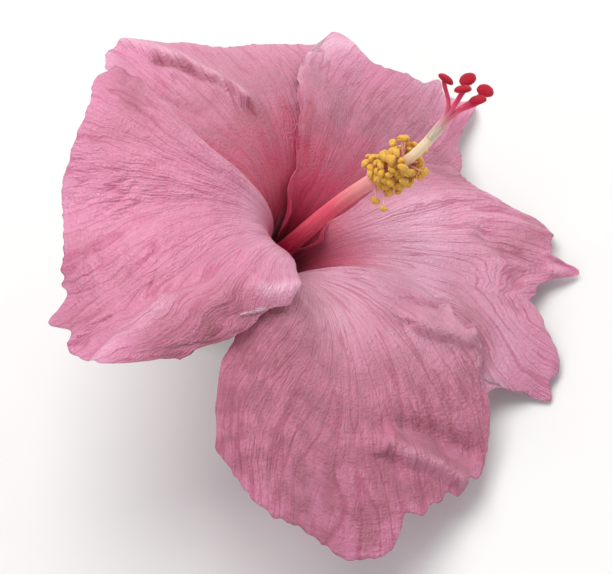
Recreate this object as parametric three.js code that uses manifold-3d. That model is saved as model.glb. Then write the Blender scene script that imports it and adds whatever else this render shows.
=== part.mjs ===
// Hibiscus flower, picked with its calyx and a short stalk, lying on a flat surface.
//
// Everything is built in the flower's own frame: +Z runs up the flower's axis, out of the throat,
// and azimuths turn counter-clockwise as seen from the front. A parent group then lays the flower
// down: it rests on the end of its stalk and on the drooping edges of two petals.
// Lengths are in millimetres and angles in degrees.
import * as THREE from 'three';
import { mergeVertices } from 'three/addons/utils/BufferGeometryUtils.js';
import Module from 'manifold-3d';

const wasm = await Module();
wasm.setup();

// ---------------------------------------------------------------- driving dimensions

const resting = {
  lean: 54.2,                    // the flower's axis, from upright
  roll: 2.3,                     // levels the two petals that touch the surface
  heading: -18.4,                // turns the open face towards the front
  throat: [-15.45, 13.5, 14.06] // where the foot of the petals comes to lie
};

const corolla = {
  neckRadius: 3.5,     // ring on which the petal claws stand
  reach: 84,           // length along a petal that its list of leans covers
  thickness: 0.7,
  layer: 1.2,          // how far a lapping margin stands off the surface that the petals share
  layerFrom: 0.35,     // share of the length over which the lap builds up
  across: 26,          // facets
  along: 16
};

// lean: angle of the blade from the flower's axis, from foot to tip
// ccw, cw: half width in degrees of azimuth on each side of the midrib, from claw to tip
// lap: +1 where that margin lies inside its neighbour, -1 where it lies outside
// fold: how straight the crest of the bend runs, and where it turns to
// lobes: [place across, width, height] of the waves in the tip's outline
// ruffles: [waves in a quarter turn, phase, height at full reach, how late they grow]
const petals = [
  { name: 'petal_right', middle: -2, length: 67, lean: [4, 12, 30, 56, 64, 72, 84, 96],
    ccw: [26, 28, 43, 51, 51, 42], cw: [26, 32, 44, 50, 48, 39], lap: { ccw: 1, cw: -1 },
    fold: { straight: 0.3, turn: 0 }, round: { ccw: 0.16, cw: 0.1, power: 2.6 }, skew: -0.02,
    lobes: [[0.12, 0.07, 4], [-0.1, 0.08, -4], [-0.35, 0.12, -1], [-0.62, 0.15, 6], [-0.82, 0.08, 6],
      [0.4, 0.1, 3], [0.75, 0.2, -5]],
    ruffles: [[3, 0.3, 3, 4]] },
  { name: 'petal_top_right', middle: 58, length: 69, lean: [4, 12, 40, 76, 88, 92, 96, 104],
    ccw: [25, 29, 40, 42, 36, 27], cw: [25, 27, 41, 44, 39, 31], lap: { ccw: 1, cw: -1 },
    fold: { straight: 0.4, turn: 0 }, round: { ccw: 0.08, cw: 0.42, power: 2 }, skew: -0.02,
    lobes: [[-0.3, 0.14, 10], [-0.12, 0.1, 5], [0.15, 0.12, 2], [0.75, 0.22, 9]],
    ruffles: [[2.5, 0, 2, 3]] },
  { name: 'petal_top_left', middle: 119, length: 69, lean: [4, 16, 60, 92, 110, 124, 150, 180],
    ccw: [26, 34, 45, 44, 36, 27], cw: [26, 33, 44, 49, 48, 41], lap: { ccw: -1, cw: -1 },
    fold: { straight: 0.3, turn: -22 }, round: { ccw: 0.04, cw: 0.04, power: 2.6 }, skew: 0.04,
    lobes: [[0.7, 0.25, 5], [0, 0.3, -7], [-0.9, 0.2, 6]],
    ruffles: [[2, 2, 1.5, 3]] },
  { name: 'petal_left', middle: 195, length: 70, lean: [4, 13, 53, 112, 131, 136, 140, 150],
    ccw: [30, 35, 44, 46, 44, 38], cw: [24, 21, 23, 32, 42, 48], lap: { ccw: 1, cw: 1 },
    fold: { straight: 0.25, turn: -24 }, round: { ccw: 0.06, cw: 0.05, power: 2.6 }, skew: 0.03,
    lobes: [[0.42, 0.1, 6], [0.72, 0.1, 6], [-0.3, 0.25, -2.5], [0.9, 0.12, -2], [-0.9, 0.15, 3]],
    ruffles: [[3, 1, 1.6, 2]] },
  { name: 'petal_bottom', middle: 283, length: 79, lean: [4, 14, 52, 78, 88, 90, 92, 96],
    ccw: [28, 34, 47, 50, 44, 34], cw: [28, 34, 49, 47, 42, 34], lap: { ccw: 1, cw: -1 },
    fold: { straight: 0.3, turn: 0 }, round: { ccw: 0.2, cw: 0.1, power: 2.6 }, skew: -0.02,
    lobes: [[-0.15, 0.2, 3], [0.13, 0.07, -5], [0.3, 0.12, -5], [0.44, 0.05, -3], [-0.6, 0.25, 4]],
    ruffles: [[3, 0, 2.4, 4]] }
];

const column = {
  length: 71,                 // foot of the column to the stigmas, along its curve
  rise: [5, 8, 9, -1, -9, 12, 20], // bend towards azimuth 90, from foot to stigmas
  swing: [0, 2, 0, -3, -6],        // bend towards azimuth 0
  foot: 0,
  tip: 52,                    // where the tube ends and the style comes out
  radii: [2.1, 1.9, 1.75, 1.65, 1.6],
  sides: 14,
  steps: 16,
  boreRadius: 1,              // plain hole in the tip that the style stands in
  boreDepth: 5
};

const stamens = {
  count: 52,
  from: 41,                   // first and last filament, along the column
  to: 51.5,
  length: [1.8, 1.8],         // of a filament outside the column: least, and how much it varies
  rise: [0.15, 0.5],          // how much it points up the column: least, and how much it varies
  radius: 0.32,
  anther: [1.3, 0.95, 1],     // half sizes: along the slit, thick, deep
  sunk: 0.3,                  // filament's end inside the anther
  turn: 137.5                 // azimuth from one filament to the next
};

const style = {
  clearance: 0.4,             // from the column, above it and in its bore
  rootRadius: 0.6,            // the part that stands in the bore
  radii: [1.05, 1, 1.05, 1.3],
  fork: 63,                   // where it divides, along the column's curve
  // azimuth of each branch, how far it spreads from the style, and its length
  branches: [[192, 37, 9.5], [224, 10, 9.5], [140, 25, 9.5], [0, 13, 9.5], [84, 22, 9.5]],
  branchFoot: [0.45, 0.8],    // off the middle, and down inside the style
  branchRadii: [0.6, 0.5, 0.5],
  stigmaRadius: 1.45,
  stigmaRaise: 0.5
};

const calyx = {
  gap: 2.3,                   // from the petals' shared surface to the cup's wall
  thickness: 0.7,
  holeRadius: 2.4,            // for the pedicel
  lobes: 5,
  cup: 9.5,                   // wall height between and at the tips of the lobes
  lobeTip: 19,
  phase: 28,
  lobeSharpness: 1.3,
  bowlShare: 0.34,            // share of the facets that make the bowl under the claws
  around: 30,
  along: 9
};

const epicalyx = {
  gap: 3.6,
  bractlets: 7,
  firstBractlet: 8,           // azimuth
  length: 11,
  width: 1.9,
  taper: 0.7,                 // share of the width lost at the tip
  thickness: 0.7,
  flare: 2.2,                 // how far the tips stand off
  bowlShare: 0.35,
  ring: { inner: 1.9, outer: 3.1, bottom: -6.7, top: -5.45 }
};

const pedicel = {
  length: 30,                 // below the calyx
  radius: 1.45,
  endRadius: 1.65,
  straight: 4,                // before the bend
  bend: 37,                   // brings its end level with the surface
  sunk: 0.6,                  // stalk's end inside the receptacle
  // half outline of the receptacle above its neck: distance from the axis, height
  receptacle: [[3.5, -2.9], [4.4, -1.2], [4.4, -0.35]]
};

const finishes = {
  petal: { color: 0xd987a8, roughness: 0.62 },
  column: { color: 0xd9556a, roughness: 0.5 },
  style: { color: 0xd23a55, roughness: 0.5 },
  calyx: { color: 0x7d9a4e, roughness: 0.6 },
  stalk: { color: 0x6f8f45, roughness: 0.6 }
};

// ---------------------------------------------------------------- small mathematics

const rad = THREE.MathUtils.degToRad;
const clamp = THREE.MathUtils.clamp;
const smooth = x => THREE.MathUtils.smoothstep(x, 0, 1);
const bell = (x, centre, width) => Math.exp(-(((x - centre) / width) ** 2));
const wrap = angle => THREE.MathUtils.euclideanModulo(angle + 180, 360) - 180;

// Smooth curve through evenly spaced values, x from 0 to 1.
function through(values, x) {
  const last = values.length - 1;
  const at = k => values[clamp(k, 0, last)];
  const q = clamp(x, 0, 1) * last;
  const k = Math.min(Math.floor(q), last - 1);
  const f = q - k;
  const [a, b, c, d] = [at(k - 1), at(k), at(k + 1), at(k + 2)];
  return b + 0.5 * f * (c - a + f * (2 * a - 5 * b + 4 * c - d + f * (3 * (b - c) + d - a)));
}

// Evenly scattered numbers in 0..1 that are the same on every run.
function scatter(index, salt) {
  const x = Math.sin(index * 12.9898 + salt * 78.233) * 43758.5453;
  return x - Math.floor(x);
}

// ---------------------------------------------------------------- the surface that the petals share

// A point given by azimuth, distance from the axis and height.
function around(azimuth, radius, height) {
  return new THREE.Vector3(radius * Math.cos(rad(azimuth)), radius * Math.sin(rad(azimuth)), height);
}

// The two petals that an azimuth lies between, and the share of the second.
function neighbours(azimuth) {
  const first = petals[0].middle;
  const phi = THREE.MathUtils.euclideanModulo(azimuth - first, 360) + first;
  const ends = petals.map(petal => petal.middle).concat(first + 360);
  const k = ends.findLastIndex(middle => middle <= phi);
  const share = smooth((phi - ends[k]) / (ends[k + 1] - ends[k]));
  return [petals[k], petals[(k + 1) % petals.length], share];
}

function petalLean(petal, azimuth, distance) {
  const off = clamp(rad(wrap(azimuth - petal.middle - petal.fold.turn)), -1.5, 1.5);
  const slower = 1 - petal.fold.straight * (1 - Math.cos(off));
  return through(petal.lean, distance * slower / corolla.reach);
}

function leanAt(azimuth, distance) {
  const [one, other, share] = neighbours(azimuth);
  return rad(petalLean(one, azimuth, distance) * (1 - share) + petalLean(other, azimuth, distance) * share);
}

// How far the ruffles lift the shared surface. Lapping petals blend theirs, so they never cross.
function ruffleAt(azimuth, distance) {
  const [one, other, share] = neighbours(azimuth);
  const lift = petal => petal.ruffles.reduce((sum, [waves, phase, height, growth]) => {
    const wave = Math.sin(rad(4 * waves * wrap(azimuth - petal.middle)) + phase);
    return sum + height * (distance / corolla.reach) ** growth * wave;
  }, 0);
  return lift(one) * (1 - share) + lift(other) * share;
}

// Point of the shared surface a distance up from the foot, and the normal of its upper face.
function surfaceAt(azimuth, distance) {
  const steps = 32;
  let radius = corolla.neckRadius;
  let height = 0;
  for (let k = 0; k < steps; k += 1) {
    const lean = leanAt(azimuth, distance * (k + 0.5) / steps);
    radius += Math.sin(lean) * distance / steps;
    height += Math.cos(lean) * distance / steps;
  }
  const lean = leanAt(azimuth, distance);
  const inward = around(azimuth, -Math.cos(lean), Math.sin(lean));
  const point = around(azimuth, radius, height).addScaledVector(inward, ruffleAt(azimuth, distance));
  return { point, inward };
}

// ---------------------------------------------------------------- closed solids

// A thin blade with both faces split alike. pointAt(u, v) gives its middle for u -1..1 and v 0..1.
// A closed one joins up across u, as the wall of a cup does.
function blade(pointAt, { across, along, thickness, closed = false }) {
  const columns = closed ? across : across + 1;
  const index = (i, j) => j * columns + (closed ? i % across : i);
  const middle = [];
  for (let j = 0; j <= along; j += 1) {
    for (let i = 0; i < columns; i += 1) {
      middle.push(pointAt(-1 + 2 * i / across, j / along));
    }
  }
  const count = middle.length;
  const positions = new Float32Array(count * 6);
  for (let j = 0; j <= along; j += 1) {
    for (let i = 0; i < columns; i += 1) {
      const before = closed ? (i + across - 1) % across : Math.max(i - 1, 0);
      const after = closed ? i + 1 : Math.min(i + 1, across);
      const du = middle[index(after, j)].clone().sub(middle[index(before, j)]);
      const dv = middle[index(i, Math.min(j + 1, along))].clone().sub(middle[index(i, Math.max(j - 1, 0))]);
      const half = du.cross(dv).setLength(thickness / 2);
      const here = index(i, j);
      middle[here].clone().add(half).toArray(positions, here * 3);
      middle[here].clone().sub(half).toArray(positions, (count + here) * 3);
    }
  }
  const faces = [];
  for (let j = 0; j < along; j += 1) {
    for (let i = 0; i < across; i += 1) {
      const [a, b, c, d] = [index(i, j), index(i + 1, j), index(i + 1, j + 1), index(i, j + 1)];
      faces.push(a, b, c, a, c, d);
      faces.push(count + a, count + c, count + b, count + a, count + d, count + c);
    }
  }
  const rim = (from, to) => faces.push(to, from, count + from, to, count + from, count + to);
  for (let i = 0; i < across; i += 1) {
    rim(index(i, 0), index(i + 1, 0));
    rim(index(i + 1, along), index(i, along));
  }
  for (let j = 0; j < along && !closed; j += 1) {
    rim(index(across, j), index(across, j + 1));
    rim(index(0, j + 1), index(0, j));
  }
  const geometry = new THREE.BufferGeometry();
  geometry.setAttribute('position', new THREE.BufferAttribute(positions, 3));
  geometry.setIndex(faces);
  return geometry;
}

// A round rod along a curve: a lathed body whose every ring is moved to its place on the curve.
// radii are spread evenly between from and to, which are lengths along the curve.
function rod(curve, from, to, radii, sides, steps) {
  const profile = [new THREE.Vector2(0, 0)];
  for (let k = 0; k <= steps; k += 1) {
    profile.push(new THREE.Vector2(through(radii, k / steps), k / steps));
  }
  profile.push(new THREE.Vector2(0, 1));
  const geometry = mergeVertices(bare(new THREE.LatheGeometry(profile, sides)));
  const place = geometry.getAttribute('position');
  for (let k = 0; k < place.count; k += 1) {
    const local = new THREE.Vector3().fromBufferAttribute(place, k);
    const spot = curve(from + (to - from) * local.y);
    const point = spot.point.addScaledVector(spot.side, local.x).addScaledVector(spot.up, local.z);
    place.setXYZ(k, point.x, point.y, point.z);
  }
  return geometry;
}

function bare(geometry) {
  geometry.deleteAttribute('normal');
  geometry.deleteAttribute('uv');
  return geometry;
}

function toSolid(geometry) {
  const merged = mergeVertices(geometry, 1e-5);
  return new wasm.Manifold(new wasm.Mesh({
    numProp: 3,
    vertProperties: new Float32Array(merged.getAttribute('position').array),
    triVerts: new Uint32Array(merged.index.array)
  }));
}

function fromSolid(solid) {
  const mesh = solid.getMesh();
  const geometry = new THREE.BufferGeometry();
  geometry.setAttribute('position', new THREE.BufferAttribute(mesh.vertProperties, 3));
  geometry.setIndex(new THREE.BufferAttribute(mesh.triVerts, 1));
  return geometry;
}

function named(name, geometry, finish) {
  const material = new THREE.MeshStandardMaterial({ ...finish, metalness: 0 });
  const mesh = new THREE.Mesh(geometry, material);
  geometry.computeVertexNormals();
  mesh.name = name;
  return mesh;
}

// ---------------------------------------------------------------- petals

function petalPoint(petal, u, v) {
  const round = u > 0 ? petal.round.ccw : petal.round.cw;
  let length = petal.length * (1 - round * Math.abs(u) ** petal.round.power) * (1 + petal.skew * u);
  for (const [place, width, height] of petal.lobes) {
    length += height * bell(u, place, width);
  }
  const distance = v * length;
  const azimuth = petal.middle + u * through(u > 0 ? petal.ccw : petal.cw, v);
  const { point, inward } = surfaceAt(azimuth, distance);
  const side = u > 0 ? petal.lap.ccw : petal.lap.cw;
  return point.addScaledVector(inward, side * Math.abs(u) * corolla.layer * smooth(v / corolla.layerFrom));
}

function makePetal(petal) {
  const { across, along, thickness } = corolla;
  const geometry = blade((u, v) => petalPoint(petal, u, v), { across, along, thickness });
  return named(petal.name, geometry, finishes.petal);
}

// ---------------------------------------------------------------- column, stamens and style

// The curve that column and style follow, with two directions square to it.
function alongColumn(distance) {
  const steps = 40;
  const point = new THREE.Vector3();
  const heading = at => {
    const rise = rad(through(column.rise, at / column.length));
    const swing = rad(through(column.swing, at / column.length));
    const level = Math.cos(rise);
    return new THREE.Vector3(level * Math.sin(swing), Math.sin(rise), level * Math.cos(swing));
  };
  for (let k = 0; k < steps; k += 1) {
    point.addScaledVector(heading(distance * (k + 0.5) / steps), distance / steps);
  }
  const forward = heading(distance);
  const side = new THREE.Vector3(0, 1, 0).cross(forward).normalize();
  const up = side.clone().cross(forward).normalize();
  return { point, side, up, forward };
}

function makeStamen(index) {
  const share = (index + 0.5) / stamens.count;
  const spot = alongColumn(stamens.from + (stamens.to - stamens.from) * share);
  const turn = rad(index * stamens.turn);
  const out = spot.side.clone().multiplyScalar(Math.cos(turn)).addScaledVector(spot.up, Math.sin(turn));
  const rise = stamens.rise[0] + stamens.rise[1] * scatter(index, 1);
  const way = out.addScaledVector(spot.forward, rise).normalize();
  const length = column.radii.at(-1) + stamens.length[0] + stamens.length[1] * scatter(index, 2);
  const toWay = new THREE.Quaternion().setFromUnitVectors(new THREE.Vector3(0, 1, 0), way);

  const filament = bare(new THREE.ConeGeometry(stamens.radius, length, 4, 1));
  filament.translate(0, length / 2, 0);
  filament.applyQuaternion(toWay);
  filament.translate(...spot.point);

  const anther = bare(new THREE.IcosahedronGeometry(1, 0));
  anther.scale(...stamens.anther);
  anther.rotateY(2 * Math.PI * scatter(index, 3));
  anther.translate(0, length - stamens.sunk, 0);
  anther.applyQuaternion(toWay);
  anther.translate(...spot.point);
  return toSolid(filament).add(toSolid(anther));
}

function makeColumn() {
  const { foot, tip, radii, sides, steps, boreRadius, boreDepth } = column;
  let solid = toSolid(rod(alongColumn, foot, tip, radii, sides, steps));
  for (let index = 0; index < stamens.count; index += 1) {
    solid = solid.add(makeStamen(index));
  }
  const bore = rod(alongColumn, tip - boreDepth, tip + boreDepth, [boreRadius, boreRadius], 12, 4);
  return named('staminal_column', fromSolid(solid.subtract(toSolid(bore))), finishes.column);
}

function makeStyle() {
  const { clearance, rootRadius, radii, fork, branchFoot } = style;
  const bottom = column.tip - column.boreDepth + clearance;
  const root = rod(alongColumn, bottom, column.tip + 2 * clearance, [rootRadius, rootRadius], 10, 3);
  const shaft = rod(alongColumn, column.tip + clearance, fork, radii, 10, 6);
  let solid = toSolid(shaft).add(toSolid(root));
  const crown = alongColumn(fork);
  for (const [azimuth, spread, length] of style.branches) {
    const turn = rad(azimuth);
    const out = crown.side.clone().multiplyScalar(Math.cos(turn)).addScaledVector(crown.up, Math.sin(turn));
    const branch = distance => {
      const angle = rad(spread) * smooth(distance / length);
      const point = crown.point.clone()
        .addScaledVector(crown.forward, distance * Math.cos(angle))
        .addScaledVector(out, branchFoot[0] + distance * Math.sin(angle));
      return { point, side: crown.side, up: crown.up };
    };
    const arm = rod(branch, -branchFoot[1], length, style.branchRadii, 6, 5);
    const pad = bare(new THREE.SphereGeometry(style.stigmaRadius, 8, 6));
    pad.rotateX(Math.PI / 2);
    pad.translate(...branch(length + style.stigmaRaise).point);
    solid = solid.add(toSolid(arm)).add(toSolid(pad));
  }
  return named('style', fromSolid(solid), finishes.style);
}

// ---------------------------------------------------------------- calyx, epicalyx and pedicel

// Outside of the petal tube: a bowl under the claws for distance -1..0, then the wall, in mm.
function cupPoint(azimuth, distance, gap) {
  if (distance <= 0) {
    const turn = rad(90 * (1 + distance));
    const radius = calyx.holeRadius + (corolla.neckRadius + gap - calyx.holeRadius) * Math.sin(turn);
    return around(azimuth, radius, -2 * gap * Math.cos(turn));
  }
  const { point, inward } = surfaceAt(azimuth, distance);
  return point.addScaledVector(inward, -gap);
}

// Distance along the cup at v 0..1: the bowl first, then the wall up to its height.
function cupDistance(v, bowlShare, height) {
  return v < bowlShare ? v / bowlShare - 1 : height * (v - bowlShare) / (1 - bowlShare);
}

function makeCalyx() {
  const { gap, thickness, lobes, phase, cup, lobeTip, lobeSharpness, bowlShare } = calyx;
  const geometry = blade((u, v) => {
    const azimuth = 180 * u;
    const lobe = 0.5 + 0.5 * Math.cos(rad(lobes * (azimuth - phase)));
    const height = cup + (lobeTip - cup) * lobe ** lobeSharpness;
    return cupPoint(azimuth, cupDistance(v, bowlShare, height), gap);
  }, { across: calyx.around, along: calyx.along, thickness, closed: true });
  return named('calyx', geometry, finishes.calyx);
}

function makeEpicalyx() {
  const { inner, outer, bottom, top } = epicalyx.ring;
  const corners = [[inner, bottom], [outer, bottom], [outer, top], [inner, top], [inner, bottom]];
  const ring = bare(new THREE.LatheGeometry(corners.map(corner => new THREE.Vector2(...corner)), 21));
  ring.rotateX(Math.PI / 2);
  let solid = toSolid(ring);
  for (let k = 0; k < epicalyx.bractlets; k += 1) {
    const middle = 360 * k / epicalyx.bractlets + epicalyx.firstBractlet;
    const bractlet = blade((u, v) => {
      const distance = cupDistance(v, epicalyx.bowlShare, epicalyx.length);
      const centre = cupPoint(middle, distance, epicalyx.gap + epicalyx.flare * v ** 3);
      const halfWidth = epicalyx.width / 2 * (1 - epicalyx.taper * v ** 2);
      return centre.add(around(middle + 90, u * halfWidth, 0));
    }, { across: 2, along: 6, thickness: epicalyx.thickness });
    solid = solid.add(toSolid(bractlet));
  }
  return named('epicalyx', fromSolid(solid), finishes.calyx);
}

function makePedicel() {
  const { length, radius, endRadius, straight, bend, sunk } = pedicel;
  const neck = -2 * calyx.gap - 0.2;
  const side = new THREE.Vector3(0, 1, 0);
  const down = distance => {
    const steps = 24;
    const point = new THREE.Vector3(0, 0, neck + sunk);
    const heading = at => {
      const angle = rad(bend) * smooth((at - straight) / (length - straight));
      return new THREE.Vector3(-Math.sin(angle), 0, -Math.cos(angle));
    };
    for (let k = 0; k < steps; k += 1) {
      point.addScaledVector(heading(distance * (k + 0.5) / steps), distance / steps);
    }
    return { point, side, up: side.clone().cross(heading(distance)).normalize() };
  };
  const stalk = rod(down, 0, length, [radius, radius, radius, endRadius], 12, 9);
  const seat = pedicel.receptacle.at(-1)[1];
  const outline = [[0, neck], [radius, neck], [radius, neck + 2 * sunk], ...pedicel.receptacle, [0, seat]];
  const receptacle = bare(new THREE.LatheGeometry(outline.map(corner => new THREE.Vector2(...corner)), 20));
  receptacle.rotateX(Math.PI / 2);
  return named('pedicel', fromSolid(toSolid(stalk).add(toSolid(receptacle))), finishes.stalk);
}

// ---------------------------------------------------------------- the flower, laid down

const flower = new THREE.Group();
flower.add(...petals.map(makePetal), makeColumn(), makeStyle(), makeCalyx(), makeEpicalyx(), makePedicel());
flower.rotation.set(rad(resting.roll), rad(resting.lean), rad(resting.heading), 'ZXY');
flower.position.set(...resting.throat);

const group = new THREE.Group();
group.add(flower);
export default group;
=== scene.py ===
# Hibiscus flower: fine petals, stamens, stigmas, calyx and stalk over the plain solids.
import math

import bpy
import numpy as np
from mathutils import Matrix, Vector


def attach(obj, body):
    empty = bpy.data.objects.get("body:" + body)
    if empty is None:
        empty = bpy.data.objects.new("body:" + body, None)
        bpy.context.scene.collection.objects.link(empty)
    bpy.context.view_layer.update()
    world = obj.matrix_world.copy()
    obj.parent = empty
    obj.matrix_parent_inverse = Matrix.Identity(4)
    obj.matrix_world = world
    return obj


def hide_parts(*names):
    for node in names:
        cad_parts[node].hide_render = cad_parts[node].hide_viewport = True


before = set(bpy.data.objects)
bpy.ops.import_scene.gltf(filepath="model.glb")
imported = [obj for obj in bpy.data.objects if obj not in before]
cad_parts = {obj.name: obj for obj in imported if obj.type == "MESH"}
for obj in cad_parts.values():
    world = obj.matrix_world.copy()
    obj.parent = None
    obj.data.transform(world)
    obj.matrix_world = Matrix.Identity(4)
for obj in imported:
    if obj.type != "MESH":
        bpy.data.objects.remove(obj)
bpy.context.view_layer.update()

print("frame loaded")

# Lengths here are in millimetres and angles in degrees, in the flower's own frame:
# +Z runs up the flower's axis and azimuths turn counter-clockwise seen from the front.
mm = 0.001

resting = {"lean": 54.2, "roll": 2.3, "heading": -18.4, "throat": (-15.45, 13.5, 14.06)}

turned = (
    Matrix.Rotation(math.radians(resting["heading"]), 3, "Z")
    @ Matrix.Rotation(math.radians(resting["roll"]), 3, "X")
    @ Matrix.Rotation(math.radians(resting["lean"]), 3, "Y")
)
toFloor = np.array(turned)


def laidDown(points):
    return (np.asarray(points) @ toFloor.T + np.array(resting["throat"])) * mm


def smooth(x):
    x = np.clip(x, 0, 1)
    return x * x * (3 - 2 * x)


def bell(x, centre, width):
    return np.exp(-(((x - centre) / width) ** 2))


def wrap(angle):
    return (angle + 180) % 360 - 180


def through(values, x):
    # smooth curve through evenly spaced values, x from 0 to 1; values may have a row for each x
    values = np.asarray(values, float)
    last = values.shape[-1] - 1
    q = np.clip(x, 0, 1) * last
    k = np.minimum(np.floor(q).astype(int), last - 1)
    f = q - k

    def at(step):
        index = np.clip(k + step, 0, last)
        if values.ndim == 1:
            return values[index]
        return np.take_along_axis(values, index[..., None], -1)[..., 0]

    a, b, c, d = at(-1), at(0), at(1), at(2)
    return b + 0.5 * f * (c - a + f * (2 * a - 5 * b + 4 * c - d + f * (3 * (b - c) + d - a)))


def scatter(index, salt):
    x = np.sin(index * 12.9898 + salt * 78.233) * 43758.5453
    return x - np.floor(x)


def softNoise(x, y, salt):
    # smooth noise from -1 to 1 that is the same on every run
    ix, iy = np.floor(x), np.floor(y)
    fx, fy = smooth(x - ix), smooth(y - iy)

    def corner(dx, dy):
        s = np.sin((ix + dx) * 127.1 + (iy + dy) * 311.7 + salt * 74.7) * 43758.5453
        return s - np.floor(s)

    low = corner(0, 0) * (1 - fx) + corner(1, 0) * fx
    high = corner(0, 1) * (1 - fx) + corner(1, 1) * fx
    return 2 * (low * (1 - fy) + high * fy) - 1


def unit(v):
    return v / np.maximum(np.linalg.norm(v, axis=-1, keepdims=True), 1e-9)


def around(azimuth, radius, height):
    azimuth = np.radians(azimuth)
    return np.stack([radius * np.cos(azimuth), radius * np.sin(azimuth), height + 0 * azimuth], -1)


# One smooth surface is shared by all petals, so that margins which lap never cross.
corolla = {
    "neckRadius": 3.5, "reach": 84, "halfWidth": 38, "across": 250, "along": 145, "steps": 32,
    # how far a lapping margin is lifted, and how far out it reaches that
    "layer": 1.2, "layerFrom": 0.25,
    "thickness": 0.42, "marginThickness": 0.16, "thinning": 20,
    # how far apart across and along a blade its wrinkles are, and how high
    "wrinkles": [(8.5, 36, 0.6), (3.6, 14, 0.22), (1.2, 2.4, 0.09)],
    # where they grow, and where the tip calms them: from, over how much, by how much
    "wrinklesGrow": (0.35, 0.4), "tipCalms": (0.84, 0.16, 0.9),
    # teeth of the tip's outline: how many across, length; of the sides: how many along, share of the width
    "teeth": [(20, 0.35), (47, 0.18)], "sideTeeth": (34, 0.012),
}


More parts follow.
